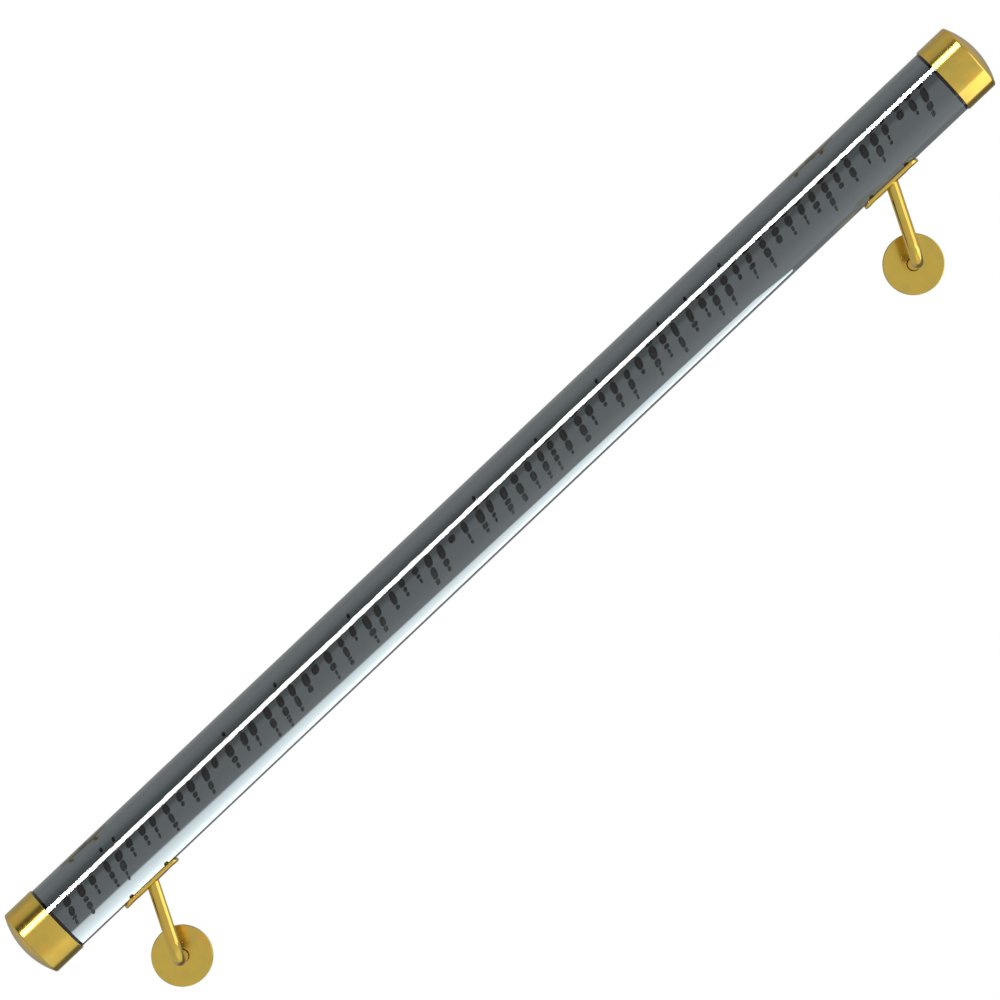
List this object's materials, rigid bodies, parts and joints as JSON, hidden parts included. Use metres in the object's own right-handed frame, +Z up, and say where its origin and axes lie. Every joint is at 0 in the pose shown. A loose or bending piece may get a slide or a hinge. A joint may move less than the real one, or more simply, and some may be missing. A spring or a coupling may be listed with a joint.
{
  "type": "stair handrail",
  "caption": "Straight round acrylic handrail with domed brass end caps, fixed to a wall along a stair by brass brackets with saddles, bent arms and round cover discs.",
  "frame": {"origin": "centre of the lower wall plate's back, on the wall", "axes": "+X up the stair along the wall, +Y into the wall, +Z up"},
  "size_m": [0.6624, 0.1309, 0.6442],
  "materials": {
    "smoke_acrylic": "gloss",
    "polished_brass": "polished",
    "turned_brass": "satin",
    "screw_brass": "satin"
  },
  "bodies": {
    "root": {"acrylic_rail": "smoke_acrylic", "lower_end_cap": "polished_brass", "upper_end_cap": "polished_brass", "lower_saddle": "polished_brass", "lower_saddle_screw_1": "screw_brass", "lower_saddle_screw_2": "screw_brass", "lower_arm": "polished_brass", "lower_wall_plate": "turned_brass", "lower_wall_screw_1": "screw_brass", "lower_wall_screw_2": "screw_brass", "lower_wall_screw_3": "screw_brass", "lower_cover_disc": "polished_brass", "upper_saddle": "polished_brass", "upper_saddle_screw_1": "screw_brass", "upper_saddle_screw_2": "screw_brass", "upper_arm": "polished_brass", "upper_wall_plate": "turned_brass", "upper_wall_screw_1": "screw_brass", "upper_wall_screw_2": "screw_brass", "upper_wall_screw_3": "screw_brass", "upper_cover_disc": "polished_brass"}
  },
  "joints": []
}
